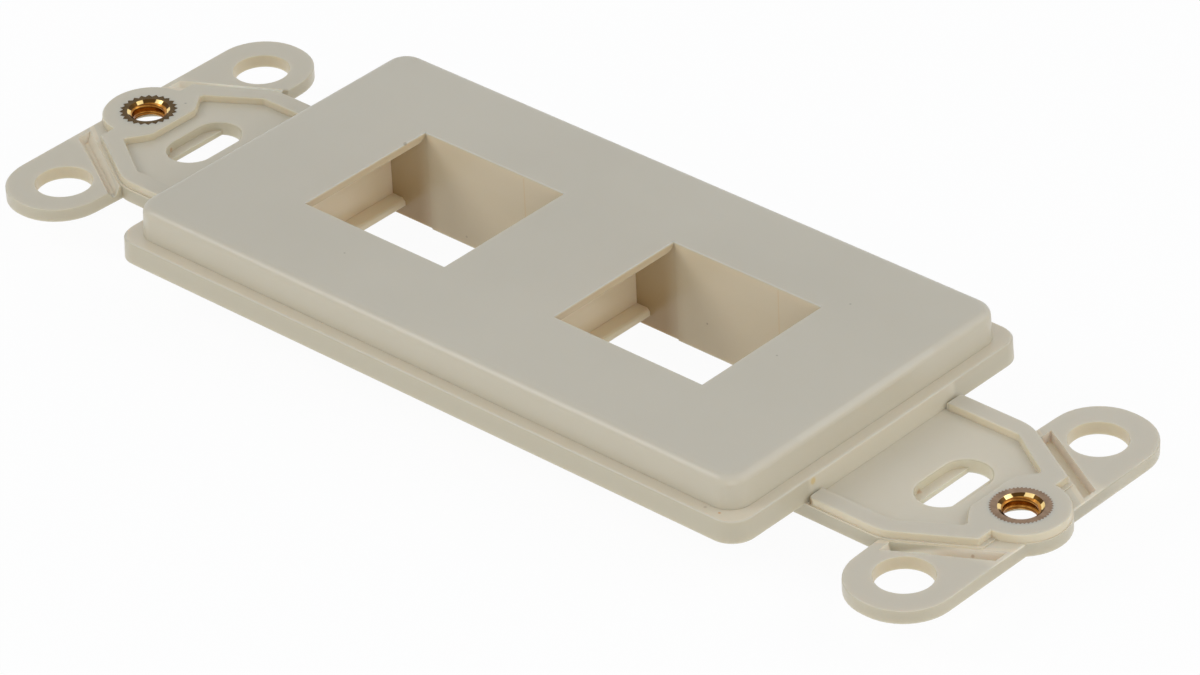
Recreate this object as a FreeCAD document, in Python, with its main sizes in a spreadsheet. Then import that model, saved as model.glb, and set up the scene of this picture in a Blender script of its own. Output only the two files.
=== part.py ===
import FreeCAD, Part
import math
import os
import Sketcher

# Two-port keystone faceplate: one plastic moulding and two brass threaded inserts.
# X runs along the plate, Y across it, +Z out of the face. The origin is the middle
# of the plate on the underside of the strap, the face that lies on the wall box.

DIMENSIONS = [
    # Strap, the flat plate that carries both fastening ends
    ("plate_thick", 1.3),
    ("strap_width", 19.1),
    ("strap_turn_x", 42.2),
    ("strap_tip_x", 49.1),
    ("strap_tip_y", 5.65),
    ("strap_turn_radius", 4.0),
    # Rim round the recess at each end
    ("rim_top", 2.0),
    ("rim_ledge", 0.15),
    ("rim_gap", 0.15),
    ("rim_edge", 0.15),
    ("rim_tip_x", 48.7),
    ("rim_tip_y", 5.55),
    ("rim_root_radius", 0.4),
    ("recess_width", 15.3),
    ("recess_turn_x", 41.93),
    ("recess_tip_x", 46.74),
    ("recess_tip_y", 4.65),
    ("recess_notch_x", 45.63),
    ("recess_notch_y", 3.13),
    ("recess_end_x", 45.32),
    ("recess_end_y", 2.5),
    ("recess_corner", 0.35),
    # Bosses and brass inserts, on the spacing of the cover's screws
    ("insert_spacing", 96.84),
    ("boss_radius", 4.12),
    ("boss_step", 0.1),
    ("insert_radius", 2.55),
    ("insert_length", 1.5),
    ("seat_hole_radius", 2.25),
    ("bore_radius", 1.4),
    ("bore_mouth_radius", 1.9),
    ("bore_mouth_depth", 0.35),
    ("bore_foot_chamfer", 0.1),
    ("left_tooth_depth", 0.3),
    ("left_teeth", 24),
    ("right_tooth_depth", 0.16),
    ("right_teeth", 48),
    # Slots for the box screws, with the nibs that hold the screws
    ("slot_spacing", 83.34),
    ("slot_width", 4.3),
    ("slot_length", 7.3),
    ("nib_gap", 2.4),
    ("nib_height", 0.45),
    ("slot_edge", 0.15),
    # Break-off ears with their holes and channels
    ("ear_thick", 1.2),
    ("ear_hole_spacing_x", 93.2),
    ("ear_hole_spacing_y", 24.0),
    ("ear_hole_radius", 2.46),
    ("ear_hole_edge", 0.1),
    ("left_ear_outer_x", 51.5),
    ("left_ear_inner_x", 42.45),
    ("left_ear_root_x", 41.75),
    ("right_ear_outer_x", 51.3),
    ("right_ear_inner_x", 42.1),
    ("right_ear_root_x", 41.6),
    ("ear_end_y", 16.8),
    ("ear_radius", 4.45),
    ("ear_edge", 0.15),
    ("channel_tip_x", 50.9),
    ("channel_tip_inner_y", 4.7),
    ("channel_tip_outer_y", 6.2),
    ("channel_turn_inner_y", 9.7),
    ("channel_turn_outer_y", 11.05),
    ("left_channel_root_x", 41.0),
    ("left_channel_web", 0.55),
    ("left_channel_taper", 35),
    ("right_channel_root_x", 42.9),
    ("right_channel_web", 0.4),
    ("right_channel_taper", 12),
    # Flange and face block
    ("flange_reach", 1.15),
    ("flange_top", 3.3),
    ("flange_corner", 2.2),
    ("flange_edge", 0.22),
    ("face_length", 66.7),
    ("face_width", 33.3),
    ("face_top", 6.2),
    ("face_corner", 2.2),
    ("draft", 3),
    ("face_edge", 0.85),
    ("face_wall", 2.0),
    ("side_wall", 2.0),
    ("hollow_corner", 1.0),
    # Keystone ports
    ("port_spacing", 28.04),
    ("port_length", 15.82),
    ("port_width", 14.44),
    ("port_depth", 9.6),
    ("port_edge", 0.15),
    ("box_wall", 1.55),
    ("box_corner", 0.8),
    ("lip_thick", 0.75),
    ("lip_end_skin", 0.2),
    ("lip_end_length", 1.25),
    ("lip_end_foot", 0.3),
    ("lip_end_radius", 1.2),
    ("lip_end_depth", 0.7),
    ("latch_reach", 4.5),
    ("latch_overlap", 0.15),
    ("latch_widening", 0.12),
    ("catch_height", 1.1),
    ("catch_thick", 0.7),
    ("catch_reach", 1.45),
    ("catch_chamfer", 0.3),
    ("hook_wall_depth", 8.2),
    ("hook_chamfer", 0.5),
    # Ribs between the port boxes and the walls of the face block
    ("rib_thick", 1.2),
    ("end_rib_y", 5.0),
]

# How far an added shape starts inside its neighbour, and a cut shape outside it
ROOT_OVERLAP = 0.05
CUT_MARGIN = 0.1

# Least difference that counts between two heights
TOLERANCE = 1e-4

document = FreeCAD.newDocument("keystone_faceplate")
sheet = document.addObject("Spreadsheet::Sheet", "dims")
for row, (alias, size) in enumerate(DIMENSIONS, start=1):
    sheet.set(f"A{row}", alias)
    sheet.set(f"B{row}", str(size))
    sheet.setAlias(f"B{row}", alias)
document.recompute()


def value(expression):
    """The number that an expression over the sheet gives, in millimetres."""
    return float(sheet.evalExpression(expression))


def bind(item, name, expression):
    """Binds a property to an expression over the sheet."""
    item.setExpression(name, expression)


def new_body(name):
    """An empty body whose label is the name of the piece."""
    body = document.addObject("PartDesign::Body", name)
    body.Label = name
    return body


def origin_plane(body, role):
    """The body's own origin plane or axis with this role."""
    return next(item for item in body.Origin.OriginFeatures if item.Role == role)


def sketch_on(body, name, role="XY_Plane", height="0", middle_x="0"):
    """A sketch on an origin plane, moved along the plane's normal by height."""
    sketch = body.newObject("Sketcher::SketchObject", name)
    sketch.AttachmentSupport = [(origin_plane(body, role), "")]
    sketch.MapMode = "FlatFace"
    bind(sketch, "AttachmentOffset.Base.z", height)
    bind(sketch, "AttachmentOffset.Base.x", middle_x)
    return sketch


def measure(sketch, kind, *where, size):
    """Adds a dimension to a sketch and binds it to an expression."""
    index = sketch.addConstraint(Sketcher.Constraint(kind, *where, value(size)))
    bind(sketch, f"Constraints[{index}]", size)


def fix_point(sketch, geometry, end, x, y):
    """Holds one point of a sketch at x, y from the sketch's origin."""
    measure(sketch, "DistanceX", -1, 1, geometry, end, size=x)
    measure(sketch, "DistanceY", -1, 1, geometry, end, size=y)


def round_corner(sketch, before, after, corner, arrive, leave, radius):
    """Joins two sides of an outline by an arc that touches both."""
    turn = (corner - arrive).cross(leave - corner).z
    inward = (arrive - corner) + (leave - corner)
    reach = (arrive - corner).Length
    distance = math.hypot(reach, radius)
    middle = corner + inward.normalize() * distance
    angles = [math.atan2(p.y - middle.y, p.x - middle.x) for p in (arrive, leave)]
    first, second = (1, 2) if turn > 0 else (2, 1)
    start, end = angles if turn > 0 else reversed(angles)
    circle = Part.Circle(middle, FreeCAD.Vector(0, 0, 1), radius)
    arc = sketch.addGeometry(Part.ArcOfCircle(circle, start, end))
    sketch.addConstraint(Sketcher.Constraint("Tangent", before, 2, arc, first))
    sketch.addConstraint(Sketcher.Constraint("Tangent", after, 1, arc, second))
    return arc


def outline(sketch, corners):
    """Draws a closed outline. Each corner is (x, y) or (x, y, radius), as expressions."""
    points = [FreeCAD.Vector(value(c[0]), value(c[1]), 0) for c in corners]
    arrive = []
    leave = []
    for i, corner in enumerate(corners):
        back = (points[i - 1] - points[i]).normalize()
        ahead = (points[(i + 1) % len(points)] - points[i]).normalize()
        reach = 0
        if len(corner) == 3:
            reach = value(corner[2]) / math.tan(back.getAngle(ahead) / 2)
        arrive.append(points[i] + back * reach)
        leave.append(points[i] + ahead * reach)
    sides = []
    for i in range(len(corners)):
        side = Part.LineSegment(leave[i], arrive[(i + 1) % len(corners)])
        sides.append(sketch.addGeometry(side))
    for i, corner in enumerate(corners):
        before, after = sides[i - 1], sides[i]
        if len(corner) == 2:
            sketch.addConstraint(Sketcher.Constraint("Coincident", before, 2, after, 1))
            fix_point(sketch, after, 1, corner[0], corner[1])
            continue
        radius = value(corner[2])
        arc = round_corner(sketch, before, after, points[i], arrive[i], leave[i], radius)
        measure(sketch, "Radius", arc, size=corner[2])
        vertex = sketch.addGeometry(Part.Point(points[i]), True)
        fix_point(sketch, vertex, 1, corner[0], corner[1])
        sketch.addConstraint(Sketcher.Constraint("PointOnObject", vertex, 1, before))
        sketch.addConstraint(Sketcher.Constraint("PointOnObject", vertex, 1, after))


def rectangle(sketch, x_low, x_high, y_low, y_high, radius=None):
    """Draws a rectangle, with rounded corners if a radius is given."""
    rounding = () if radius is None else (radius,)
    corners = [(x_low, y_low), (x_high, y_low), (x_high, y_high), (x_low, y_high)]
    outline(sketch, [corner + rounding for corner in corners])


def obround(sketch, x, straight_half, radius):
    """Draws a slot shape that runs along Y, its middle at x, 0."""
    middle, half, r = value(x), value(straight_half), value(radius)
    up = FreeCAD.Vector(0, 0, 1)
    top = Part.Circle(FreeCAD.Vector(middle, half, 0), up, r)
    bottom = Part.Circle(FreeCAD.Vector(middle, -half, 0), up, r)
    top_arc = sketch.addGeometry(Part.ArcOfCircle(top, 0, math.pi))
    bottom_arc = sketch.addGeometry(Part.ArcOfCircle(bottom, math.pi, 2 * math.pi))
    corners = [FreeCAD.Vector(middle + sx * r, sy * half, 0) for sx in (1, -1) for sy in (1, -1)]
    right = sketch.addGeometry(Part.LineSegment(corners[1], corners[0]))
    left = sketch.addGeometry(Part.LineSegment(corners[2], corners[3]))
    sketch.addConstraint(Sketcher.Constraint("Tangent", right, 2, top_arc, 1))
    sketch.addConstraint(Sketcher.Constraint("Tangent", top_arc, 2, left, 1))
    sketch.addConstraint(Sketcher.Constraint("Tangent", left, 2, bottom_arc, 1))
    sketch.addConstraint(Sketcher.Constraint("Tangent", bottom_arc, 2, right, 1))
    fix_point(sketch, top_arc, 3, x, straight_half)
    fix_point(sketch, bottom_arc, 3, x, f"-({straight_half})")
    measure(sketch, "Radius", top_arc, size=radius)


def circle(sketch, x, y, radius):
    """Draws a circle."""
    middle = FreeCAD.Vector(value(x), value(y), 0)
    ring = sketch.addGeometry(Part.Circle(middle, FreeCAD.Vector(0, 0, 1), value(radius)))
    fix_point(sketch, ring, 3, x, y)
    measure(sketch, "Radius", ring, size=radius)


def pad(body, name, sketch, length, middle=False, taper=None):
    """Pads a sketch along its normal, or to both sides of it."""
    feature = body.newObject("PartDesign::Pad", name)
    feature.Profile = sketch
    feature.SideType = "Symmetric" if middle else "One side"
    bind(feature, "Length", length)
    if taper is not None:
        bind(feature, "TaperAngle", taper)
    document.recompute()
    return feature


def pocket(body, name, sketch, length, upward=False, middle=False, taper=None):
    """Cuts a sketch downward by length, upward, or to both sides, and proves that it cut."""
    volume = body.Shape.Volume
    feature = body.newObject("PartDesign::Pocket", name)
    feature.Profile = sketch
    feature.Reversed = upward
    feature.SideType = "Symmetric" if middle else "One side"
    bind(feature, "Length", length)
    if taper is not None:
        bind(feature, "TaperAngle", taper)
    document.recompute()
    if body.Shape.Volume > volume - TOLERANCE:
        raise RuntimeError(f"{name} cuts nothing")
    return feature


def mirrored(body, name, features, role):
    """Repeats features on the other side of an origin plane."""
    feature = body.newObject("PartDesign::Mirrored", name)
    feature.Originals = features
    feature.MirrorPlane = (origin_plane(body, role), [""])
    body.Tip = feature
    document.recompute()
    return feature


def edges_at(body, height, wanted):
    """Names of the body's edges at this height whose bounding box is wanted."""
    level = value(height)
    names = []
    for index, edge in enumerate(body.Tip.Shape.Edges, start=1):
        box = edge.BoundBox
        if abs(box.ZMin - level) < TOLERANCE and abs(box.ZMax - level) < TOLERANCE and wanted(box):
            names.append(f"Edge{index}")
    return names


def fillet(body, name, height, radius, wanted):
    """Rounds the wanted edges at this height."""
    base = (body.Tip, edges_at(body, height, wanted))
    feature = body.newObject("PartDesign::Fillet", name)
    feature.Base = base
    bind(feature, "Radius", radius)
    document.recompute()


def chamfer(body, name, height, size, wanted):
    """Breaks the wanted edges at this height."""
    base = (body.Tip, edges_at(body, height, wanted))
    feature = body.newObject("PartDesign::Chamfer", name)
    feature.Base = base
    bind(feature, "Size", size)
    document.recompute()


def far_x(box):
    """Greatest distance of a box from the plane between the two ends."""
    return max(abs(box.XMin), abs(box.XMax))


def near_x(box):
    """Least distance of a box, which lies on one side of that plane, from it."""
    return min(abs(box.XMin), abs(box.XMax))


def far_y(box):
    """Greatest distance of a box from the plane between the two long sides."""
    return max(abs(box.YMin), abs(box.YMax))


def face_block(body):
    """Face block with the flange round its foot, both with draft and rounded edges."""
    sketch = sketch_on(body, "block_sketch", height="dims.plate_thick")
    x, y = "dims.face_length / 2", "dims.face_width / 2"
    rectangle(sketch, f"-{x}", x, f"-{y}", y, "dims.face_corner")
    pad(body, "block", sketch, "dims.face_top - dims.plate_thick", taper="-dims.draft")
    fillet(body, "block_edge", "dims.face_top", "dims.face_edge", lambda box: True)
    block_x = value(x)
    block_y = value(y)
    sketch = sketch_on(body, "flange_sketch", height="dims.plate_thick")
    x, y = f"({x} + dims.flange_reach)", f"({y} + dims.flange_reach)"
    rectangle(sketch, f"-{x}", x, f"-{y}", y, "dims.flange_corner")
    pad(body, "flange", sketch, "dims.flange_top - dims.plate_thick", taper="-dims.draft")
    chamfer(body, "flange_edge", "dims.flange_top", "dims.flange_edge",
            lambda box: far_x(box) > block_x or far_y(box) > block_y)


def strap(body):
    """Flat strap from end to end, the ear bar across each end, and the foot of each boss."""
    sketch = sketch_on(body, "strap_sketch")
    side = "dims.strap_width / 2"
    turn, tip = "dims.strap_turn_x", "dims.strap_tip_x"
    rounding = "dims.strap_turn_radius"
    outline(sketch, [
        (turn, f"-{side}", rounding), (tip, "-dims.strap_tip_y"),
        (tip, "dims.strap_tip_y"), (turn, side, rounding),
        (f"-{turn}", side, rounding), (f"-{tip}", "dims.strap_tip_y"),
        (f"-{tip}", "-dims.strap_tip_y"), (f"-{turn}", f"-{side}", rounding)])
    pad(body, "strap", sketch, "dims.plate_thick")
    corner = "dims.ear_radius"
    for end, sign in (("left", "-"), ("right", "")):
        sketch = sketch_on(body, f"{end}_ear_bar_sketch")
        outline(sketch, [
            (f"{sign}dims.{end}_ear_outer_x", "-dims.ear_end_y", corner),
            (f"{sign}dims.{end}_ear_outer_x", "dims.ear_end_y", corner),
            (f"{sign}dims.{end}_ear_inner_x", "dims.ear_end_y", corner),
            (f"{sign}dims.{end}_ear_root_x", "0"),
            (f"{sign}dims.{end}_ear_inner_x", "-dims.ear_end_y", corner)])
        pad(body, f"{end}_ear_bar", sketch, "dims.ear_thick")
    strap_side = value(side) + ROOT_OVERLAP
    strap_end = value(tip) + ROOT_OVERLAP
    chamfer(body, "ear_edges", "dims.ear_thick", "dims.ear_edge",
            lambda box: near_x(box) > strap_end or far_y(box) > strap_side)
    for end, sign in (("left", "-"), ("right", "")):
        sketch = sketch_on(body, f"{end}_boss_foot_sketch")
        circle(sketch, f"{sign}dims.insert_spacing / 2", "0", "dims.boss_radius")
        pad(body, f"{end}_boss_foot", sketch, "dims.ear_thick")


def strap_end(body):
    """Rim, boss and recess at the right end, and the same at the left end."""
    root = "(dims.face_length / 2 + dims.flange_reach + dims.rim_gap)"
    side = "(dims.strap_width / 2 - dims.rim_ledge)"
    turn = "(dims.strap_turn_x - dims.rim_ledge)"
    sketch = sketch_on(body, "rim_sketch", height="dims.plate_thick")
    outline(sketch, [
        (root, f"-{side}", "dims.rim_root_radius"),
        (turn, f"-{side}", "dims.strap_turn_radius"),
        ("dims.rim_tip_x", "-dims.rim_tip_y"), ("dims.rim_tip_x", "dims.rim_tip_y"),
        (turn, side, "dims.strap_turn_radius"),
        (root, side, "dims.rim_root_radius")])
    rim = pad(body, "rim", sketch, "dims.rim_top - dims.plate_thick")
    sketch = sketch_on(body, "boss_sketch", height="dims.ear_thick")
    circle(sketch, "dims.insert_spacing / 2", "0", "dims.boss_radius - dims.boss_step")
    boss = pad(body, "boss", sketch, "dims.rim_top - dims.ear_thick")
    sketch = sketch_on(body, "recess_sketch", height="dims.rim_top")
    edge = "dims.recess_width / 2"
    corner = "dims.recess_corner"
    start = f"{root} - dims.rim_gap / 2"
    outline(sketch, [
        (start, f"-{edge}"), ("dims.recess_turn_x", f"-{edge}", corner),
        ("dims.recess_tip_x", "-dims.recess_tip_y", corner),
        ("dims.recess_notch_x", "-dims.recess_notch_y", corner),
        ("dims.recess_end_x", "-dims.recess_end_y"), ("dims.recess_end_x", "dims.recess_end_y"),
        ("dims.recess_notch_x", "dims.recess_notch_y", corner),
        ("dims.recess_tip_x", "dims.recess_tip_y", corner),
        ("dims.recess_turn_x", edge, corner), (start, edge)])
    recess = pocket(body, "recess", sketch, "dims.rim_top - dims.plate_thick")
    mirrored(body, "left_end", [rim, boss, recess], "YZ_Plane")
    chamfer(body, "rim_edges", "dims.rim_top", "dims.rim_edge", lambda box: True)


def hollow(body):
    """Hollow underside of the face block, open at the bottom."""
    sketch = sketch_on(body, "hollow_sketch")
    x = "(dims.face_length / 2 - dims.side_wall)"
    y = "(dims.face_width / 2 - dims.side_wall)"
    rectangle(sketch, f"-{x}", x, f"-{y}", y, "dims.hollow_corner")
    pocket(body, "hollow", sketch, "dims.face_top - dims.face_wall", upward=True)


def ports(body):
    """Port boxes, their openings, latch pockets, catch bars and hook walls."""
    middle = "-dims.port_spacing / 2"
    low, high = f"({middle} - dims.port_length / 2)", f"({middle} + dims.port_length / 2)"
    latch = f"({low} - dims.latch_reach)"
    side = "dims.port_width / 2"
    floor = "dims.face_top - dims.port_depth"
    wall = "dims.box_wall"

    sketch = sketch_on(body, "box_sketch", height=floor)
    rectangle(sketch, f"{latch} - {wall}", f"{high} + {wall}", f"-{side} - {wall}",
              f"{side} + {wall}", "dims.box_corner")
    box = pad(body, "box", sketch, "dims.port_depth - dims.face_wall")

    sketch = sketch_on(body, "opening_sketch", height="dims.face_top")
    rectangle(sketch, low, high, f"-{side}", side)
    opening = pocket(body, "opening", sketch, "dims.port_depth")

    sketch = sketch_on(body, "latch_sketch", height=floor)
    wider = f"({side} + dims.latch_widening)"
    rectangle(sketch, latch, f"{low} + dims.latch_overlap", f"-{wider}", wider)
    latch_cut = pocket(body, "latch_pocket", sketch, "dims.port_depth - dims.lip_thick",
                       upward=True)

    sketch = sketch_on(body, "lip_end_sketch", "YZ_Plane", f"{low} - dims.lip_end_depth")
    under = "(dims.face_top - dims.lip_thick)"
    for sign in ("", "-"):
        outline(sketch, [
            (f"{sign}{wider}", f"{under} - {CUT_MARGIN}"),
            (f"{sign}{wider}", "dims.face_top - dims.lip_end_skin"),
            (f"{sign}({side} - dims.lip_end_foot)", under, "dims.lip_end_radius"),
            (f"{sign}({side} - dims.lip_end_length)", under),
            (f"{sign}({side} - dims.lip_end_length)", f"{under} - {CUT_MARGIN}")])
    lip_ends = pocket(body, "lip_ends", sketch, "dims.lip_end_depth + dims.latch_overlap",
                      upward=True)

    sketch = sketch_on(body, "catch_sketch", "XZ_Plane")
    bottom = f"({floor} + dims.catch_height)"
    top = f"({bottom} + dims.catch_thick)"
    front = f"({latch} + dims.catch_reach)"
    root = f"{latch} - {ROOT_OVERLAP}"
    outline(sketch, [
        (root, bottom), (front, bottom), (front, f"{top} - dims.catch_chamfer"),
        (f"{front} - dims.catch_chamfer", top), (root, top)])
    catch = pad(body, "catch_bar", sketch, f"2 * ({wider} + {ROOT_OVERLAP})", middle=True)

    sketch = sketch_on(body, "hook_sketch", "XZ_Plane")
    ledge = "(dims.face_top - dims.hook_wall_depth)"
    inside = f"{high} - {CUT_MARGIN}"
    outside = f"{high} + {wall} + {CUT_MARGIN}"
    below = f"{floor} - {CUT_MARGIN}"
    chamfer_top = f"{ledge} + dims.hook_chamfer"
    outline(sketch, [
        (inside, below), (outside, below), (outside, ledge),
        (f"{high} + dims.hook_chamfer", ledge), (high, chamfer_top), (inside, chamfer_top)])
    hook = pocket(body, "hook_wall", sketch, f"2 * {side}", middle=True)

    pattern = body.newObject("PartDesign::LinearPattern", "second_port")
    pattern.Originals = [box, opening, latch_cut, lip_ends, catch, hook]
    pattern.Direction = (origin_plane(body, "X_Axis"), [""])
    bind(pattern, "Length", "dims.port_spacing")
    pattern.Occurrences = 2
    body.Tip = pattern
    document.recompute()
    face_x = value("dims.face_length / 2 - 2 * dims.side_wall")
    opening_y = value(side) + CUT_MARGIN
    chamfer(body, "port_edges", "dims.face_top", "dims.port_edge",
            lambda box: far_x(box) < face_x and far_y(box) < opening_y)


def ribs(body):
    """Ribs under the face that tie the port boxes to the walls and to each other."""
    height = "dims.face_top - dims.face_wall - dims.plate_thick"
    box_side = "(dims.port_width / 2 + dims.box_wall)"
    half = "dims.rib_thick / 2"
    sketch = sketch_on(body, "cross_rib_sketch", height="dims.plate_thick")
    wall = "(dims.face_width / 2 - dims.side_wall)"
    for middle in ("-dims.port_spacing / 2", "dims.port_spacing / 2"):
        for sign in ("", "-"):
            rectangle(sketch, f"{middle} - {half}", f"{middle} + {half}",
                      f"{sign}({box_side} - {ROOT_OVERLAP})", f"{sign}({wall} + {ROOT_OVERLAP})")
    pad(body, "cross_ribs", sketch, height)
    sketch = sketch_on(body, "long_rib_sketch", height="dims.plate_thick")
    latch_end = "(dims.port_length / 2 + dims.latch_reach + dims.box_wall)"
    hook_end = "(dims.port_length / 2 + dims.box_wall)"
    end_wall = "(dims.face_length / 2 - dims.side_wall)"
    spans = [
        (f"-{end_wall} - {ROOT_OVERLAP}", f"-dims.port_spacing / 2 - {latch_end} + {ROOT_OVERLAP}"),
        (f"-dims.port_spacing / 2 + {hook_end} - {ROOT_OVERLAP}",
         f"dims.port_spacing / 2 - {latch_end} + {ROOT_OVERLAP}"),
        (f"dims.port_spacing / 2 + {hook_end} - {ROOT_OVERLAP}", f"{end_wall} + {ROOT_OVERLAP}")]
    for start, stop in spans:
        for sign in ("", "-"):
            rectangle(sketch, start, stop, f"{sign}(dims.end_rib_y - {half})",
                      f"{sign}(dims.end_rib_y + {half})")
    pad(body, "long_ribs", sketch, height)


def screw_slots(body):
    """Slots for the box screws, each with a thin nib along both of its long walls."""
    sketch = sketch_on(body, "slot_sketch", height="dims.plate_thick")
    for sign in ("-", ""):
        obround(sketch, f"{sign}dims.slot_spacing / 2", "(dims.slot_length - dims.slot_width) / 2",
                "dims.slot_width / 2")
    pocket(body, "slots", sketch, "dims.plate_thick")
    inner_x = value("(dims.slot_spacing - dims.slot_width) / 2") - CUT_MARGIN
    outer_x = value("(dims.slot_spacing + dims.slot_width) / 2") + CUT_MARGIN
    end_y = value("dims.slot_length / 2") + CUT_MARGIN
    chamfer(body, "slot_edges", "dims.plate_thick", "dims.slot_edge",
            lambda box: near_x(box) > inner_x and far_x(box) < outer_x and far_y(box) < end_y)
    sketch = sketch_on(body, "nib_sketch")
    for sign in ("-", ""):
        for side in ("-", "+"):
            middle = f"{sign}dims.slot_spacing / 2"
            rectangle(sketch, f"{middle} {side} dims.nib_gap / 2",
                      f"{middle} {side} (dims.slot_width / 2 + {ROOT_OVERLAP})",
                      "-dims.slot_length / 2", "dims.slot_length / 2")
    pad(body, "nibs", sketch, "dims.nib_height")


def ear_holes(body):
    """Hole in each break-off ear."""
    sketch = sketch_on(body, "ear_hole_sketch", height="dims.plate_thick")
    for x_sign in ("-", ""):
        for y_sign in ("-", ""):
            circle(sketch, f"{x_sign}dims.ear_hole_spacing_x / 2",
                   f"{y_sign}dims.ear_hole_spacing_y / 2", "dims.ear_hole_radius")
    pocket(body, "ear_holes", sketch, "dims.plate_thick")
    wide = value("2 * dims.ear_hole_radius")
    chamfer(body, "ear_hole_edges", "dims.ear_thick", "dims.ear_hole_edge",
            lambda box: max(abs(box.XLength - wide), abs(box.YLength - wide)) < CUT_MARGIN)


def break_off_channels(body, end, sign):
    """Channels that leave a thin web to snap between the strap and both ears of an end."""
    sketch = sketch_on(body, f"{end}_channel_sketch", height="dims.ear_thick")
    root = f"dims.{end}_channel_root_x"
    turn = "dims.strap_turn_x"
    tip = "dims.channel_tip_x"
    rise = "(dims.channel_turn_inner_y - dims.channel_tip_inner_y)"
    slope = f"{rise} / (dims.channel_tip_x - dims.strap_turn_x)"
    start = turn if value(root) < value(turn) else root
    inner_start = f"(dims.channel_turn_inner_y - ({start} - {turn}) * {slope})"
    outer_root = f"(dims.channel_turn_outer_y - ({root} - {turn}) * {slope})"
    for y_sign in ("", "-"):
        corners = [(start, inner_start), (tip, "dims.channel_tip_inner_y"),
                   (tip, "dims.channel_tip_outer_y"), (root, outer_root)]
        if start == turn:
            corners.append((root, "dims.channel_turn_inner_y"))
        outline(sketch, [(f"{sign}({x})", f"{y_sign}({y})") for x, y in corners])
    pocket(body, f"{end}_channels", sketch, f"dims.ear_thick - dims.{end}_channel_web",
           taper=f"-dims.{end}_channel_taper")


def seat_hole(body, end, sign):
    """Hole under an insert, through which the cover's screw passes."""
    sketch = sketch_on(body, f"{end}_seat_hole_sketch")
    circle(sketch, f"{sign}dims.insert_spacing / 2", "0", "dims.seat_hole_radius")
    pocket(body, f"{end}_seat_hole", sketch, "dims.rim_top - dims.insert_length / 2", upward=True)


def toothed_ring(body, end, middle_x, cutting):
    """Toothed outside of an insert, as a solid, or as the seat that the plastic forms round it."""
    tooth_root = f"(dims.insert_radius - dims.{end}_tooth_depth)"
    foot = "dims.rim_top - dims.insert_length"
    sketch = sketch_on(body, f"{end}_core_sketch", height=foot, middle_x=middle_x)
    circle(sketch, "0", "0", tooth_root)
    if cutting:
        pocket(body, f"{end}_core", sketch, "dims.insert_length", upward=True)
    else:
        pad(body, f"{end}_core", sketch, "dims.insert_length")
    sketch = sketch_on(body, f"{end}_tooth_sketch", height=foot, middle_x=middle_x)
    step = f"(180deg / dims.{end}_teeth)"
    outline(sketch, [
        (f"{tooth_root} * cos({step}) - {ROOT_OVERLAP}", f"-{tooth_root} * sin({step})"),
        (f"{tooth_root} * cos({step})", f"-{tooth_root} * sin({step})"),
        ("dims.insert_radius", "0"),
        (f"{tooth_root} * cos({step})", f"{tooth_root} * sin({step})"),
        (f"{tooth_root} * cos({step}) - {ROOT_OVERLAP}", f"{tooth_root} * sin({step})")])
    if cutting:
        tooth = pocket(body, f"{end}_tooth", sketch, "dims.insert_length", upward=True)
    else:
        tooth = pad(body, f"{end}_tooth", sketch, "dims.insert_length")
    pattern = body.newObject("PartDesign::PolarPattern", f"{end}_teeth")
    pattern.Originals = [tooth]
    pattern.Axis = (sketch, ["N_Axis"])
    pattern.Angle = 360
    pattern.Occurrences = int(value(f"dims.{end}_teeth"))
    body.Tip = pattern
    document.recompute()


def faceplate():
    """The moulding, made in one piece."""
    body = new_body("faceplate")
    face_block(body)
    strap(body)
    strap_end(body)
    hollow(body)
    ports(body)
    ribs(body)
    screw_slots(body)
    ear_holes(body)
    for end, sign in (("left", "-"), ("right", "")):
        break_off_channels(body, end, sign)
        seat_hole(body, end, sign)
        toothed_ring(body, end, f"{sign}dims.insert_spacing / 2", cutting=True)
    return body


def insert(end, sign):
    """Brass insert with teeth outside and a chamfered bore for the cover's screw."""
    body = new_body(f"{end}_insert")
    toothed_ring(body, end, "0", cutting=False)
    sketch = sketch_on(body, "bore_sketch", "XZ_Plane")
    foot = "dims.rim_top - dims.insert_length"
    outline(sketch, [
        ("0", foot), ("dims.bore_radius + dims.bore_foot_chamfer", foot),
        ("dims.bore_radius", f"{foot} + dims.bore_foot_chamfer"),
        ("dims.bore_radius", "dims.rim_top - dims.bore_mouth_depth"),
        ("dims.bore_mouth_radius", "dims.rim_top"), ("0", "dims.rim_top")])
    groove = body.newObject("PartDesign::Groove", "bore")
    groove.Profile = sketch
    groove.ReferenceAxis = (sketch, ["V_Axis"])
    groove.Angle = 360
    document.recompute()
    bind(body, "Placement.Base.x", f"{sign}dims.insert_spacing / 2")
    return body


pieces = [faceplate(), insert("left", "-"), insert("right", "")]
document.recompute()

failed = [item.Name for item in document.Objects if {"Invalid", "Error"} & set(item.State)]
if failed:
    raise RuntimeError(f"these objects failed: {failed}")
os.makedirs("parts", exist_ok=True)
for piece in pieces:
    if piece.Shape.isNull() or not piece.Shape.isValid() or len(piece.Shape.Solids) != 1:
        raise RuntimeError(f"{piece.Label} is not one valid solid")
for piece in pieces:
    piece.Shape.exportStep(f"parts/{piece.Label}.step")
    box = piece.Shape.BoundBox
    print(piece.Label, round(piece.Shape.Volume, 1), "mm3", box)
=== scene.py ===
import math

import bpy
from mathutils import Matrix, Vector


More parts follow.
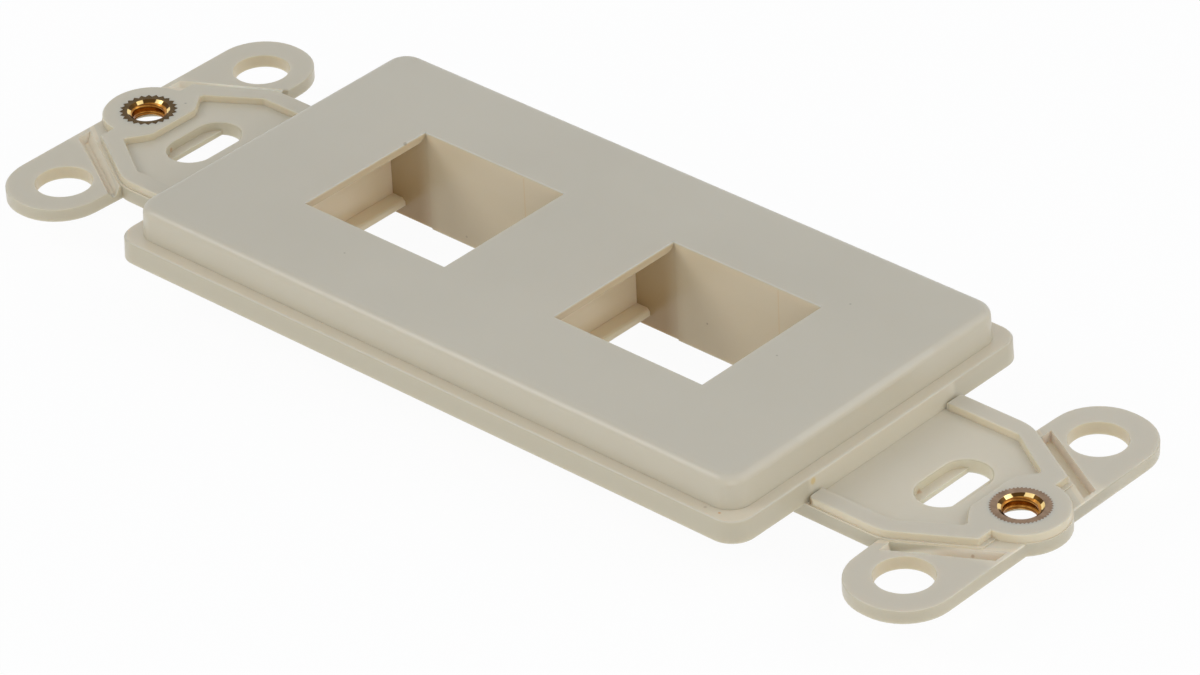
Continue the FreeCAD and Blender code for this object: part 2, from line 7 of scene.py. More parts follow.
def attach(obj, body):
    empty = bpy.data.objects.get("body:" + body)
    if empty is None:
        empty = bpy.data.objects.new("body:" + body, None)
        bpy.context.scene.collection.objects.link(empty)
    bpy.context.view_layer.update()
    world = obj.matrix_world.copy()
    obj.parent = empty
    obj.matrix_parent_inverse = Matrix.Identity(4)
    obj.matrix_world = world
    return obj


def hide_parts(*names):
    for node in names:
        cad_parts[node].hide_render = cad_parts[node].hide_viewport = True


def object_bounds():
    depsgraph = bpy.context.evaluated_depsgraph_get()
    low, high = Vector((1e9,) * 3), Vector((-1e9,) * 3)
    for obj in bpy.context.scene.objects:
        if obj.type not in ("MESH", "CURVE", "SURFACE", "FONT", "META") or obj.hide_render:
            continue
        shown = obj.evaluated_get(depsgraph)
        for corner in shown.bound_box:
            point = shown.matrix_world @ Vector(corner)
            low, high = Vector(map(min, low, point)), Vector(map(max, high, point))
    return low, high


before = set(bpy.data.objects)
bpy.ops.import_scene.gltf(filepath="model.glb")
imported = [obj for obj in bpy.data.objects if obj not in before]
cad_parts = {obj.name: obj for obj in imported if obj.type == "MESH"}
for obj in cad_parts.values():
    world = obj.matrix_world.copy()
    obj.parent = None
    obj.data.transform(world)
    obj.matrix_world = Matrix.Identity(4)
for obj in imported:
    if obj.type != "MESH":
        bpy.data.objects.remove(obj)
cad_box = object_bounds()

MM = 0.001

# Brass inserts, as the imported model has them
INSERT_X = 48.42 * MM
BORE_RADIUS = 1.4 * MM
THREAD_RADIUS = 1.75 * MM
THREAD_PITCH = 0.794 * MM
THREAD_START = -0.6 * MM
THREAD_TURNS = 4
THREAD_STEPS = 48

# Edges that turn more than this many degrees stay sharp
SHARP_PLASTIC = 50
SHARP_BRASS = 25

# Camera of the photograph
CAMERA_AT = (303.07 * MM, -314.18 * MM, 278.80 * MM)
CAMERA_AZIMUTH = math.radians(-46.429)
CAMERA_ELEVATION = math.radians(32.765)
CAMERA_ROLL = math.radians(-2.718)
LENS = 188.8
SENSOR_WIDTH = 36.0

# Soft square lamps that face the part: name, place and size in metres, power, colour
LAMPS = [
    ("front_soft", (-0.48, -0.50, 0.56), 0.45, 2.2, (1.0, 0.97, 0.94)),
    ("right_soft", (0.56, 0.42, 0.50), 0.80, 2.6, (1.0, 0.97, 0.94)),
    ("low_fill", (0.60, -0.62, 0.28), 0.60, 2.1, (1.0, 0.96, 0.92)),
]

FLOOR_SIZE = 4.0
FLOOR_GAP = 0.1 * MM


# ---- Shader helpers

class Socket:
    """A node's output, on which numbers are worked out with plain operators."""

    def __init__(self, maker, output):
        self.maker = maker
        self.output = output

    def combine(self, operation, first, second=None):
        node = self.maker.node("ShaderNodeMath", {"operation": operation})
        self.maker.feed(node.inputs[0], first)
        if second is not None:
            self.maker.feed(node.inputs[1], second)
        return Socket(self.maker, node.outputs[0])

    def __add__(self, other):
        return self.combine("ADD", self, other)

    def __radd__(self, other):
        return self.combine("ADD", other, self)

    def __sub__(self, other):
        return self.combine("SUBTRACT", self, other)

    def __rsub__(self, other):
        return self.combine("SUBTRACT", other, self)

    def __mul__(self, other):
        return self.combine("MULTIPLY", self, other)

    def __rmul__(self, other):
        return self.combine("MULTIPLY", other, self)

    def absolute(self):
        return self.combine("ABSOLUTE", self)

    def sine(self):
        return self.combine("SINE", self)

    def cosine(self):
        return self.combine("COSINE", self)

    def larger(self, other):
        return self.combine("MAXIMUM", self, other)

    def to_and_fro(self, length):
        """Runs up to length and back down, over and over."""
        return self.combine("PINGPONG", self, length)

    def angle_over(self, other):
        """Angle of the direction that has this as its rise and the other as its run."""
        return self.combine("ARCTAN2", self, other)


class Tree:
    """The nodes of a material or of the world, in the making."""

    def __init__(self, tree):
        self.tree = tree

    def feed(self, socket, item):
        if isinstance(item, Socket):
            item = item.output
        if isinstance(item, bpy.types.NodeSocket):
            self.tree.links.new(item, socket)
        else:
            socket.default_value = item

    def node(self, kind, settings=None, **sockets):
        made = self.tree.nodes.new(kind)
        for key, setting in (settings or {}).items():
            setattr(made, key, setting)
        for key, item in sockets.items():
            self.feed(made.inputs[key.replace("_", " ")], item)
        return made

    def wrap(self, output):
        return Socket(self, output)


class Finish(Tree):
    """A material in the making, with its shader and the object's own coordinates."""

    def __init__(self, name):
        self.material = bpy.data.materials.new(name)
        self.material.use_nodes = True
        super().__init__(self.material.node_tree)
        self.shader = self.tree.nodes["Principled BSDF"]
        self.place = self.node("ShaderNodeTexCoord").outputs["Object"]

    def axes(self, place=None):
        """The three coordinates of a place, as numbers."""
        parts = self.node("ShaderNodeSeparateXYZ", Vector=place or self.place)
        return [self.wrap(parts.outputs[i]) for i in range(3)]

    def noise(self, scale, detail=2.0, rough=0.5):
        made = self.node("ShaderNodeTexNoise", Vector=self.place, Scale=scale,
                         Detail=detail, Roughness=rough)
        return self.wrap(made.outputs["Fac"])

    def ramp(self, factor, low, high, start=0.0, end=1.0):
        """Factor taken from low..high to start..end, smoothly."""
        made = self.node("ShaderNodeMapRange", {"interpolation_type": "SMOOTHSTEP"},
                         Value=factor, From_Min=low, From_Max=high, To_Min=start, To_Max=end)
        return self.wrap(made.outputs["Result"])

    def rise(self, factor, low, high):
        """0 below low and 1 above high, both in mm."""
        return self.ramp(factor, low * MM, high * MM)

    def fall(self, factor, low, high):
        """1 below low and 0 above high, both in mm."""
        return self.ramp(factor, low * MM, high * MM, 1.0, 0.0)

    def band(self, factor, low, full, fade, high):
        """1 from full to fade, and 0 below low and above high, all in mm."""
        return self.rise(factor, low, full) * self.fall(factor, fade, high)

    def within(self, square, full, high):
        """1 where a squared distance is that of full mm or less, 0 from that of high mm on."""
        return self.ramp(square, (full * MM) ** 2, (high * MM) ** 2, 1.0, 0.0)

    def blend(self, factor, first, second):
        """First colour turning to the second as the factor goes from 0 to 1."""
        made = self.node("ShaderNodeMix", {"data_type": "RGBA"})
        self.feed(made.inputs[0], factor)
        self.feed(made.inputs[6], first)
        self.feed(made.inputs[7], second)
        return made.outputs[2]

    def near(self, point, radius):
        """1 at a point of the object, falling to 0 at the radius."""
        gap = self.node("ShaderNodeVectorMath", {"operation": "DISTANCE"})
        self.feed(gap.inputs[0], self.place)
        self.feed(gap.inputs[1], point)
        return self.ramp(self.wrap(gap.outputs["Value"]), radius * 0.1, radius, 1.0, 0.0)

    def bump(self, height, strength, distance):
        made = self.node("ShaderNodeBump", Strength=strength, Distance=distance)
        self.feed(made.inputs["Height"], height)
        self.feed(self.shader.inputs["Normal"], made.outputs["Normal"])


def srgb(red, green, blue):
    """A colour written as 0 to 255 on the screen, as the shader takes it."""
    return tuple(((c / 255 + 0.055) / 1.055) ** 2.4 for c in (red, green, blue)) + (1.0,)


# ---- Mesh helpers

def deselect():
    bpy.ops.object.select_all(action="DESELECT")


def only(piece):
    deselect()
    piece.select_set(True)
    bpy.context.view_layer.objects.active = piece


def apply(piece, kind, **settings):
    """Adds a modifier, sets it and applies it."""
    only(piece)
    modifier = piece.modifiers.new(kind.title(), kind)
    for key, setting in settings.items():
        setattr(modifier, key, setting)
    bpy.ops.object.modifier_apply(modifier=modifier.name)


def merged_copy(node, name):
    """A copy of a CAD node with its loose triangles joined and its flat faces whole."""
    piece = bpy.data.objects.new(name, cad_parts[node].data.copy())
    bpy.context.scene.collection.objects.link(piece)
    piece.data.materials.clear()
    only(piece)
    bpy.ops.object.mode_set(mode="EDIT")
    bpy.ops.mesh.select_all(action="SELECT")
    bpy.ops.mesh.remove_doubles(threshold=2e-6)
    bpy.ops.mesh.dissolve_limited(angle_limit=math.radians(0.3))
    bpy.ops.object.mode_set(mode="OBJECT")
    return piece


def corners_by_vertex(mesh):
    """Each vertex's face corners: loop, face normal, angle, and edges that aren't sharp."""
    sharp = {edge.key for edge in mesh.edges if edge.use_edge_sharp}
    found = {}
    for face in mesh.polygons:
        around = list(face.vertices)
        for i, here in enumerate(around):
            beside = (around[i - 1], around[(i + 1) % len(around)])
            ways = [mesh.vertices[other].co - mesh.vertices[here].co for other in beside]
            found.setdefault(here, []).append({
                "loop": face.loop_start + i,
                "facing": face.normal.copy(),
                "turn": ways[0].angle(ways[1], 0),
                "open": {tuple(sorted((here, other))) for other in beside} - sharp,
            })
    return found.values()


def smooth(piece, angle):
    """Smooth shading with sharp edges kept, slanted edge faces following the flat ones."""
    only(piece)
    bpy.ops.object.mode_set(mode="EDIT")
    bpy.ops.mesh.select_mode(type="EDGE")
    bpy.ops.mesh.select_all(action="SELECT")
    bpy.ops.mesh.mark_sharp(clear=True)
    bpy.ops.mesh.faces_shade_smooth()
    bpy.ops.mesh.select_all(action="DESELECT")
    bpy.ops.mesh.edges_select_sharp(sharpness=math.radians(angle))
    bpy.ops.mesh.mark_sharp()
    bpy.ops.object.mode_set(mode="OBJECT")
    mesh = piece.data
    normals = [None] * len(mesh.loops)
    for group in corners_by_vertex(mesh):
        while group:
            fan = [group.pop()]
            for corner in fan:
                joined = [other for other in group if other["open"] & corner["open"]]
                group = [other for other in group if other not in joined]
                fan += joined
            upright = [corner for corner in fan if not 0.1 < abs(corner["facing"].z) < 0.97]
            total = Vector((0, 0, 0))
            for corner in upright or fan:
                total += corner["facing"] * corner["turn"]
            for corner in fan:
                normals[corner["loop"]] = total.normalized()
    mesh.normals_split_custom_set(normals)


# ---- Moulded plastic

# Measures that the colours follow: the middles of the ports, the opening, and along the
# plate from a port's middle its box's middle, the pocket's edge, the latch wall and the seam
PORTS_X = (-14.02 * MM, 14.02 * MM)
OPENING_LENGTH = 15.82 * MM
OPENING_WIDTH = 14.44 * MM
BOX_OFFSET = 2.25 * MM
POCKET_EDGE = 7.91 * MM
LATCH_WALL = 10.6 * MM
SEAM_OFFSET = 3.4 * MM
EAR_HOLE_X = 46.6 * MM
EAR_HOLE_Y = 12.0 * MM
CHANNEL_TURN_X = 42.9 * MM
CHANNEL_SLOPE = 0.625
ENDS_X = 36.0 * MM

# Shades of the moulding. Apart from the face's tone and the seam, they are painted light and
# shade. A pair goes from the first to the second.
FACE = (srgb(196, 189, 172), srgb(201, 194, 177))
STRAP_PAINTED_LIGHT_LEFT_TO_RIGHT = (srgb(201, 193, 174), srgb(206, 198, 180))
RECESS_PAINTED_LIGHT = srgb(220, 211, 190)
FLANGE_LEDGE_PAINTED_LIGHT = srgb(218, 208, 187)
WALL_PAINTED_LIGHT_LOW_TO_HIGH = (srgb(196, 188, 166), srgb(202, 194, 174))
EAR_HOLE_PAINTED_LIGHT = srgb(228, 210, 172)
SLOT_PAINTED_LIGHT = srgb(226, 219, 194)
FLANGE_END_PAINTED_LIGHT = srgb(216, 208, 188)
STEP_PAINTED_LIGHT = srgb(248, 234, 204)
NEAR_CHANNELS_PAINTED_LIGHT_LEFT_TO_RIGHT = (srgb(217, 206, 186), srgb(230, 221, 205))
FAR_CHANNELS_PAINTED_LIGHT_LEFT_TO_RIGHT = (srgb(255, 250, 234), srgb(218, 206, 189))
CHANNEL_SHADED_END_PAINTED_LIGHT = srgb(255, 254, 246)
CHANNEL_FLOOR_PAINTED_LIGHT = srgb(221, 210, 186)
CHANNEL_LEDGE_PAINTED_LIGHT = srgb(226, 212, 186)
SLANTED_EDGE_HIGHLIGHT = srgb(226, 225, 216)
PORT_WALL_PAINTED_LIGHT = srgb(218, 204, 176)
PORT_CORNER_PAINTED_SHADOW = srgb(168, 138, 92)
LATCH_PAINTED_LIGHT = srgb(244, 230, 202)
LIP_PAINTED_SHADE = srgb(196, 178, 146)
CATCH_BAR_PAINTED_LIGHT = srgb(232, 219, 192)
SEAM = srgb(212, 184, 134)
PORT_EDGE_HIGHLIGHT = srgb(188, 194, 201)

# Marks of handling: place and radius in mm, colour, and how much of it shows
MARKS = [
    ((32.09, -16.86, 3.3), 0.22, srgb(206, 156, 96), 0.8),
    ((30.69, -16.96, 3.3), 0.24, srgb(164, 150, 126), 0.4),
    ((34.42, -8.44, 2.82), 0.50, srgb(208, 186, 128), 0.8),
    ((34.9, -9.35, 1.6), 0.50, srgb(150, 118, 76), 0.8),
    ((23.59, 8.98, 6.2), 0.16, srgb(140, 132, 112), 0.6),
    ((23.93, -0.47, 6.2), 0.16, srgb(148, 140, 120), 0.6),
    ((-13.87, -10.9, 6.2), 0.16, srgb(150, 142, 122), 0.6),
    ((48.6, -6.16, 0.62), 0.26, srgb(164, 128, 88), 0.5),
    ((-46.67, 2.79, 2.0), 0.18, srgb(132, 128, 116), 0.6),
    ((-22.0, 4.86, 6.15), 0.30, srgb(120, 100, 72), 0.45),
    ((-17.72, 7.22, -2.57), 0.18, srgb(140, 116, 84), 0.4),
    ((9.54, 7.22, -0.43), 0.16, srgb(130, 106, 74), 0.5),
    ((-43.75, -2.03, 0.65), 0.35, srgb(190, 140, 84), 0.6),
    ((39.6, -1.8, 0.5), 0.40, srgb(190, 150, 100), 0.5),
]


class Spot:
    """Where a point of the moulding lies and which way it faces, for the masks."""

    def __init__(self, f):
        self.x, self.y, self.z = f.axes()
        self.out = self.x.absolute()
        self.aside = self.y.absolute()
        normal = f.node("ShaderNodeTexCoord").outputs["Normal"]
        _, self.facing_y, self.facing_z = f.axes(normal)
        self.side = f.ramp(self.facing_z * self.facing_z, 0.15, 0.6, 1.0, 0.0)
        self.to_right = f.ramp(self.x, -ENDS_X, ENDS_X)
        self.past_flange = f.rise(self.out, 34.8, 35.0)


def open_surfaces(f, at, cloud):
    """Colour of what faces up: the face, the strap, its recesses and the flange's ledge, the
    last three with painted light.
    """
    face = f.blend(f.ramp(cloud, 0.3, 0.7), *FACE)
    # Painted light: the strap lighter to the right.
    strap = f.blend(at.to_right, *STRAP_PAINTED_LIGHT_LEFT_TO_RIGHT)
    colour = f.blend(f.fall(at.z, 2.1, 3.1), face, strap)
    ear = f.rise(at.out, 41.0, 42.0) * f.rise(at.aside, 6.5, 7.5)
    # Painted light: the recess floors lightened against their shade, more to the right.
    recess_light = f.fall(at.z, 1.3, 1.4) * f.ramp(at.x, -ENDS_X, ENDS_X, 0.4, 1.0)
    colour = f.blend(0.6 * recess_light * (1 - ear), colour, RECESS_PAINTED_LIGHT)
    # Painted light: the flange's ledge lightened.
    return f.blend(f.band(at.z, 3.2, 3.28, 3.32, 3.4), colour, FLANGE_LEDGE_PAINTED_LIGHT)


def walls(f, at, colour):
    """Painted light and shade on the sides: warmer walls, lighter in the ear holes and slots
    and on the strap's steps.
    """
    # Painted light and shade: sides take their own warmer colour, lighter higher up.
    wall = f.blend(f.rise(at.z, 3.1, 3.6), *WALL_PAINTED_LIGHT_LOW_TO_HIGH)
    colour = f.blend(at.side, colour, wall)
    # Painted light: the ear holes' walls lightened, as if lit through the holes.
    hole_x = at.out - EAR_HOLE_X
    hole_y = at.aside - EAR_HOLE_Y
    hole_light = f.within(hole_x * hole_x + hole_y * hole_y, 2.7, 2.9)
    colour = f.blend(0.4 * at.side * hole_light, colour, EAR_HOLE_PAINTED_LIGHT)
    # Painted light: the slots' walls lightened, more to the right.
    slot_light = (f.band(at.out, 37.0, 37.2, 46.0, 46.2) * f.within(at.y * at.y, 6.0, 6.2)
            * f.fall(at.z, 1.1, 1.2))
    more_at_right = f.ramp(at.x, 30.0 * MM, ENDS_X, 0.4, 0.7)
    colour = f.blend(at.side * slot_light * more_at_right, colour, SLOT_PAINTED_LIGHT)
    # Painted light: the flange's ends between the rims lightened.
    flange_end_light = (f.band(at.out, 34.2, 34.3, 34.7, 34.9) * f.fall(at.aside, 8.6, 9.2)
                  * f.fall(at.z, 3.2, 3.3))
    colour = f.blend(0.8 * at.side * flange_end_light, colour, FLANGE_END_PAINTED_LIGHT)
    # Painted light: a pale cream band on the strap's steps.
    step_light = f.band(at.z, 1.15, 1.25, 2.0, 2.1) * at.past_flange
    return f.blend(0.4 * at.side * step_light, colour, STEP_PAINTED_LIGHT)


def break_off_channels(f, at, colour):
    """The channels between ears and strap, paled with painted light against their shade, each
    as pale as the photo has it.
    """
    across = at.aside + CHANNEL_SLOPE * (at.out - CHANNEL_TURN_X)
    channel = (f.band(across, 9.45, 9.6, 11.25, 11.4) * f.band(at.out, 42.6, 42.8, 51.0, 51.1)
               * f.band(at.z, 0.3, 0.35, 1.16, 1.19))
    # Painted light: the channels' walls paled against their shade, the near right one's shaded
    # inner end palest.
    shaded_end_light = f.band(at.x, 42.95, 43.2, 44.2, 47.2)
    near = f.blend(at.to_right, *NEAR_CHANNELS_PAINTED_LIGHT_LEFT_TO_RIGHT)
    near = f.blend(shaded_end_light, near, CHANNEL_SHADED_END_PAINTED_LIGHT)
    far = f.blend(at.to_right, *FAR_CHANNELS_PAINTED_LIGHT_LEFT_TO_RIGHT)
    colour = f.blend(channel * at.side, colour, f.blend(f.rise(at.y, -1.0, 1.0), near, far))
    # Painted light on the channels' floors too.
    colour = f.blend(channel * (1 - at.side), colour, CHANNEL_FLOOR_PAINTED_LIGHT)
    # Painted light: the ledge at the channels' foot lightened.
    ledge = f.band(across, 9.1, 9.2, 9.6, 9.7) * f.band(at.z, 1.0, 1.1, 1.25, 1.4)
    return f.blend(0.6 * ledge * (1 - at.side) * at.past_flange, colour, CHANNEL_LEDGE_PAINTED_LIGHT)


def slanted_edges(f, at, colour):
    """A painted highlight, a little lighter on slanted edges, but not on the fillet round the
    face.
    """
    slant_highlight = f.ramp(at.facing_z, 0.35, 0.6) * f.ramp(at.facing_z, 0.85, 0.97, 1.0, 0.0)
    fillet = f.rise(at.z, 3.5, 3.6) * (1 - f.within(at.y * at.y, 8.0, 8.5))
    return f.blend(0.1 * slant_highlight * (1 - fillet), colour, SLANTED_EDGE_HIGHLIGHT)


def port_inside(f, at, colour, port_x):
    """Warm walls of one port with painted light, a painted shadow in the far corner behind the
    lip, and a painted highlight on the pale edge.
    """
    from_box = at.x - (port_x - BOX_OFFSET)
    inside = (f.within(from_box * from_box, 10.2, 10.3) * f.within(at.y * at.y, 7.4, 7.5)
              * f.fall(at.z, 5.95, 6.1))
    # Painted light: the port's walls warm and lightened.
    colour = f.blend(0.85 * inside, colour, PORT_WALL_PAINTED_LIGHT)
    far_wall = f.rise(at.y, 7.0, 7.1) * f.ramp(at.facing_y, -0.8, -0.5, 1.0, 0.0)
    # Painted shadow in the far corner behind the lip.
    corner = (f.fall(at.x - (port_x - POCKET_EDGE), -1.6, 1.2)
              * f.ramp(at.z, -3.0 * MM, 4.0 * MM, 0.85, 0.55))
    colour = f.blend(inside * corner * far_wall, colour, PORT_CORNER_PAINTED_SHADOW)
    from_latch = at.x - (port_x - LATCH_WALL)
    latch = f.fall(from_latch, 0.0, 0.3)
    lip = f.fall(from_latch, 3.0, 3.2) * f.rise(at.z, 4.4, 4.6)
    catch_bar = f.fall(from_latch, 1.5, 1.6) * f.fall(at.z, -1.58, -1.5)
    # Painted light on the latch wall and the catch bar, painted shade on the lip.
    for part, shade in ((latch, LATCH_PAINTED_LIGHT), (lip, LIP_PAINTED_SHADE), (catch_bar, CATCH_BAR_PAINTED_LIGHT)):
        colour = f.blend(0.85 * inside * part * (1 - far_wall), colour, shade)
    from_seam = at.x - (port_x + SEAM_OFFSET)
    seam = (f.within(from_seam * from_seam, 0.03, 0.09) * f.band(at.y, 7.1, 7.2, 7.3, 7.4)
            * f.fall(at.z, 5.9, 6.0))
    colour = f.blend(0.4 * seam, colour, SEAM)
    # Painted highlight along the opening's edge.
    past_end = (at.x - port_x).absolute() - OPENING_LENGTH / 2
    past_edge = past_end.larger(at.aside - OPENING_WIDTH / 2)
    edge = f.fall(past_edge, 0.07, 0.12) * f.rise(at.z, 6.1, 6.15)
    return f.blend(0.8 * edge, colour, PORT_EDGE_HIGHLIGHT)


def handling_marks(f, colour):
    """Small ragged specks and stains."""
    speckle = 0.5 + f.noise(3000.0)
    for point, radius, shade, depth in MARKS:
        spot = f.near(tuple(c * MM for c in point), radius * MM)
        ragged = f.ramp(spot * speckle, 0.1, 0.9)
        colour = f.blend(ragged * depth, colour, shade)
    return colour


def ivory_plastic():
    """Satin ivory moulding with a fine grain, flow shades, light and shade painted into its
    colour, and the marks of handling.
    """
    f = Finish("ivory_plastic")
    at = Spot(f)
    cloud = f.noise(38.0, 3.0)
    colour = open_surfaces(f, at, cloud)
    colour = walls(f, at, colour)
    colour = break_off_channels(f, at, colour)
    colour = slanted_edges(f, at, colour)
    for port_x in PORTS_X:
        colour = port_inside(f, at, colour, port_x)
    f.feed(f.shader.inputs["Base Color"], handling_marks(f, colour))
    f.feed(f.shader.inputs["Roughness"], 0.25 + 0.08 * f.noise(900.0) + 0.04 * cloud)
    f.shader.inputs["IOR"].default_value = 1.49
    f.shader.inputs["Subsurface Weight"].default_value = 0.6
    f.shader.inputs["Subsurface Radius"].default_value = (1.0, 0.85, 0.7)
    f.shader.inputs["Subsurface Scale"].default_value = 1.0 * MM
    grain = f.noise(5200.0, 3.0, 0.6) + 0.4 * f.noise(1400.0)
    f.bump(grain, 0.12, 0.02 * MM)
    return f.material


def moulding():
    """The one moulded piece, from its CAD solid, with edges that catch the light."""
    piece = merged_copy("faceplate", "moulded_faceplate")
    smooth(piece, SHARP_PLASTIC)
    piece.data.materials.append(ivory_plastic())
    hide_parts("faceplate")
    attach(piece, "root")


# ---- Brass inserts

# Shades of the brass, with painted reflections in the mouth and painted shade in the thread's
# groove. A pair goes from the first to the second.
LEFT_RIM = (srgb(70, 53, 27), srgb(104, 82, 48))
RIGHT_RIM = (srgb(124, 102, 82), srgb(160, 136, 114))
MOUTH_REFLECTIONS_DARK_TO_BRIGHT = (srgb(78, 54, 24), srgb(244, 214, 146))
THREAD_CREST = (srgb(184, 132, 62), srgb(150, 98, 38))
THREAD_GROOVE_PAINTED_SHADE = srgb(96, 54, 20)

# The mouth's bright and dark facets are painted reflections.
# Bright facets round the mouth, spaced as the three that the photo shows, and the angle of
# one of them in radians
MOUTH_GLINTS = 6
FIRST_GLINT = 1.83


def brass(name, middle_x, rim_shades, teeth):
    """Machined brass: dull rim with radial tool marks, mouth with painted reflections of
    facets, golden thread with painted shade in its groove.
    """
    f = Finish(name)
    middle = f.node("ShaderNodeMapping", Vector=f.place, Location=(-middle_x, 0, 0))
    x, y, z = f.axes(middle.outputs["Vector"])
    flat = f.node("ShaderNodeCombineXYZ", X=x, Y=y)
    length = f.node("ShaderNodeVectorMath", {"operation": "LENGTH"})
    f.feed(length.inputs[0], flat.outputs["Vector"])
    radius = f.wrap(length.outputs["Value"])
    turn = y.angle_over(x)
    tool_marks = (turn * float(teeth * 3)).sine() * 0.5 + 0.5
    patchy = f.noise(1500.0, 3.0)

    # Painted reflections: the mouth turns from dark to bright round its facets.
    facets = (turn - FIRST_GLINT + 0.5 * (f.noise(900.0, 1.0) - 0.5)) * float(MOUTH_GLINTS)
    mouth = f.blend(f.ramp(facets.cosine(), 0.15, 0.45), *MOUTH_REFLECTIONS_DARK_TO_BRIGHT)
    wind = (z - THREAD_START) * (1 / THREAD_PITCH) - turn * (0.5 / math.pi)
    # Painted shade in the thread's groove.
    groove = f.ramp((2.0 * wind).to_and_fro(0.5), 0.05, 0.25, 1.0, 0.0)
    crest = f.blend(f.ramp(patchy, 0.35, 0.65), *THREAD_CREST)
    thread = f.blend(0.85 * groove, crest, THREAD_GROOVE_PAINTED_SHADE)
    rim = f.blend(f.ramp(tool_marks * 0.15 + patchy * 0.9, 0.2, 0.9), *rim_shades)

    in_mouth = f.rise(radius, 1.56, 1.60) * f.rise(z, 1.6, 1.68)
    on_rim = f.rise(radius, 1.84, 1.88) * f.rise(z, 1.9, 1.95)
    colour = f.blend(on_rim, f.blend(in_mouth, thread, mouth), rim)
    f.feed(f.shader.inputs["Base Color"], colour)
    f.feed(f.shader.inputs["Metallic"], 1.0 - 0.15 * on_rim)
    f.feed(f.shader.inputs["Roughness"], 0.16 + 0.34 * on_rim + 0.1 * patchy)
    f.bump(0.2 * tool_marks * on_rim + 0.3 * patchy, 0.3, 0.03 * MM)
    return f.material


def tap(middle_x):
    """A helical cutter with the section of the thread's groove, closed at both ends."""
    deselect()
    bpy.ops.mesh.primitive_plane_add(size=1.0)
    cutter = bpy.context.object
    root = THREAD_RADIUS
    mouth = BORE_RADIUS - 0.15 * MM
    narrow = THREAD_PITCH / 8
    wide = narrow + 2 * (root - mouth) * math.tan(math.radians(30))
    section = [(mouth, -wide / 2), (root, -narrow / 2), (root, narrow / 2), (mouth, wide / 2)]
    corners = cutter.data.vertices
    order = sorted(range(4), key=lambda i: math.atan2(corners[i].co.y, corners[i].co.x))
    wanted = sorted(section, key=lambda p: math.atan2(p[1], p[0] - (mouth + root) / 2))
    for index, (radius, height) in zip(order, wanted):
        corners[index].co = (radius, 0, height + THREAD_START)
    apply(cutter, "SCREW", axis="Z", angle=2 * math.pi, screw_offset=THREAD_PITCH,
          iterations=THREAD_TURNS, steps=THREAD_STEPS, render_steps=THREAD_STEPS,
          use_normal_calculate=True)
    bpy.ops.object.mode_set(mode="EDIT")
    bpy.ops.mesh.select_all(action="DESELECT")
    bpy.ops.mesh.select_mode(type="EDGE")
    bpy.ops.mesh.select_non_manifold()
    bpy.ops.mesh.edge_face_add()
    bpy.ops.mesh.select_all(action="SELECT")
    bpy.ops.mesh.normals_make_consistent(inside=False)
    bpy.ops.object.mode_set(mode="OBJECT")
    cutter.data.transform(Matrix.Translation((middle_x, 0, 0)))
    return cutter


def insert(side, middle_x, rim_shades, teeth):
    """A toothed brass insert with its thread cut."""
    piece = merged_copy(f"{side}_insert", f"{side}_brass_insert")
    cutter = tap(middle_x)
    apply(piece, "BOOLEAN", operation="DIFFERENCE", object=cutter, solver="EXACT")
    bpy.data.objects.remove(cutter)
    smooth(piece, SHARP_BRASS)
    piece.data.materials.clear()
    piece.data.materials.append(brass(f"{side}_brass", middle_x, rim_shades, teeth))
    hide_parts(f"{side}_insert")
    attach(piece, "root")


# ---- Stage

def floor_paper():
    """White paper: white to the camera and in reflections, grey where the object shades it."""
    f = Finish("floor_paper")
    f.shader.inputs["Base Color"].default_value = (0.93, 0.93, 0.93, 1.0)
    f.shader.inputs["Roughness"].default_value = 0.9
    path = f.node("ShaderNodeLightPath")
    glow = f.node("ShaderNodeEmission", Color=(1.0, 1.0, 1.0, 1.0), Strength=1.0)
    seen = f.wrap(path.outputs["Is Camera Ray"]) + f.wrap(path.outputs["Is Glossy Ray"])
    choose = f.node("ShaderNodeMixShader", Fac=0.3 + 0.65 * seen)
    f.feed(choose.inputs[1], f.shader.outputs["BSDF"])
    f.feed(choose.inputs[2], glow.outputs["Emission"])
    f.feed(f.tree.nodes["Material Output"].inputs["Surface"], choose.outputs["Shader"])
    return f.material


def floor():
    """A plain floor just under the part."""
    deselect()
    bpy.ops.mesh.primitive_plane_add(size=FLOOR_SIZE)
    plane = bpy.context.object
    plane.name = "floor"
    plane.data.transform(Matrix.Translation((0, 0, cad_box[0][2] - FLOOR_GAP)))
    plane.data.materials.append(floor_paper())


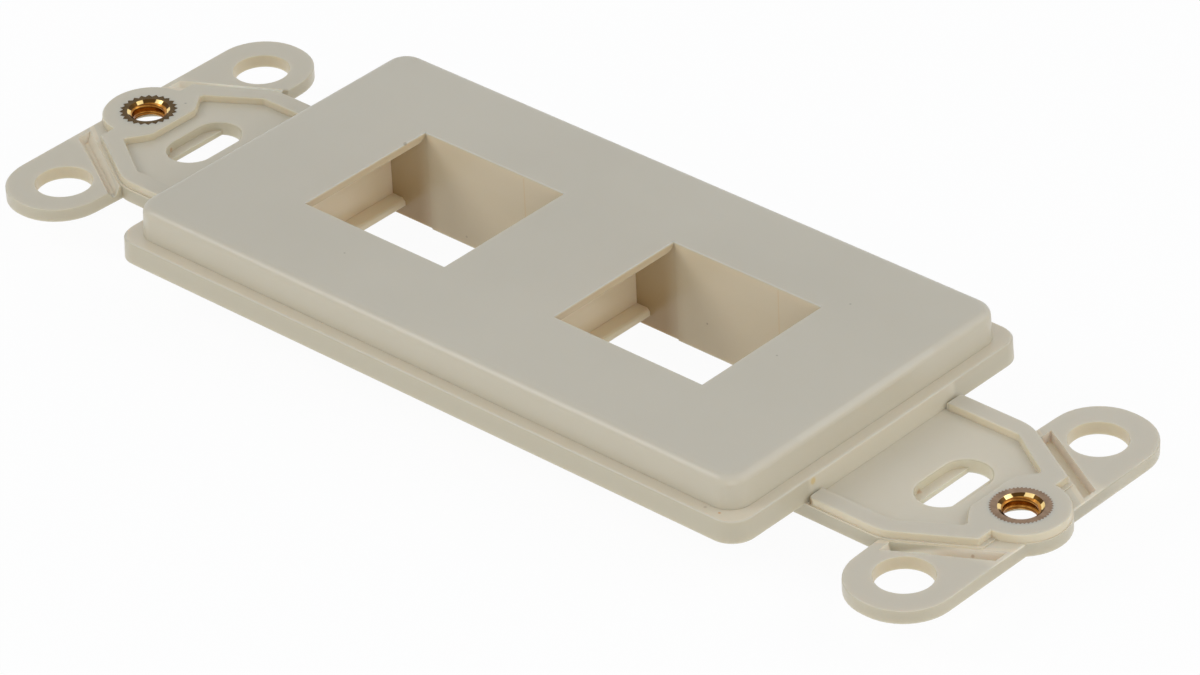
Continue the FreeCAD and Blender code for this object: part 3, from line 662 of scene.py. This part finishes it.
def studio_world():
    """Pale blue light all round, which the camera and reflections see as white."""
    world = bpy.data.worlds.new("studio")
    world.use_nodes = True
    bpy.context.scene.world = world
    f = Tree(world.node_tree)
    pale = f.tree.nodes["Background"]
    pale.inputs["Color"].default_value = (0.82, 0.90, 1.0, 1.0)
    pale.inputs["Strength"].default_value = 0.45
    white = f.node("ShaderNodeBackground", Color=(1.0, 1.0, 1.0, 1.0), Strength=1.0)
    path = f.node("ShaderNodeLightPath")
    seen = f.wrap(path.outputs["Is Camera Ray"]).larger(path.outputs["Is Glossy Ray"])
    choose = f.node("ShaderNodeMixShader", Fac=seen)
    f.feed(choose.inputs[1], pale.outputs["Background"])
    f.feed(choose.inputs[2], white.outputs["Background"])
    f.feed(f.tree.nodes["World Output"].inputs["Surface"], choose.outputs["Shader"])


def lamp(name, at, size, power, colour):
    """A square soft lamp that faces the middle of the part."""
    light = bpy.data.lights.new(name, "AREA")
    light.size = size
    light.energy = power
    light.color = colour
    holder = bpy.data.objects.new(name, light)
    bpy.context.scene.collection.objects.link(holder)
    holder.location = at
    holder.rotation_euler = (-Vector(at)).to_track_quat("-Z", "Y").to_euler()


def photo_camera():
    """The camera of the photograph, fitted to the part."""
    lens = bpy.data.cameras.new("photo_camera")
    camera = bpy.data.objects.new("photo_camera", lens)
    bpy.context.scene.collection.objects.link(camera)
    lens.sensor_width = SENSOR_WIDTH
    lens.lens = LENS
    lens.clip_start = 0.01
    lens.clip_end = 20.0
    az, el, roll = CAMERA_AZIMUTH, CAMERA_ELEVATION, CAMERA_ROLL
    back = Vector((math.cos(el) * math.cos(az), math.cos(el) * math.sin(az), math.sin(el)))
    level = Vector((-math.sin(az), math.cos(az), 0))
    upright = back.cross(level)
    right = math.cos(roll) * level + math.sin(roll) * upright
    up = -math.sin(roll) * level + math.cos(roll) * upright
    turn = Matrix((right, up, back)).transposed()
    camera.matrix_world = Matrix.Translation(CAMERA_AT) @ turn.to_4x4()
    bpy.context.scene.camera = camera
    bpy.context.scene.view_settings.view_transform = "Standard"


moulding()
insert("left", -INSERT_X, LEFT_RIM, 24)
insert("right", INSERT_X, RIGHT_RIM, 48)
floor()
studio_world()
for row in LAMPS:
    lamp(*row)
photo_camera()
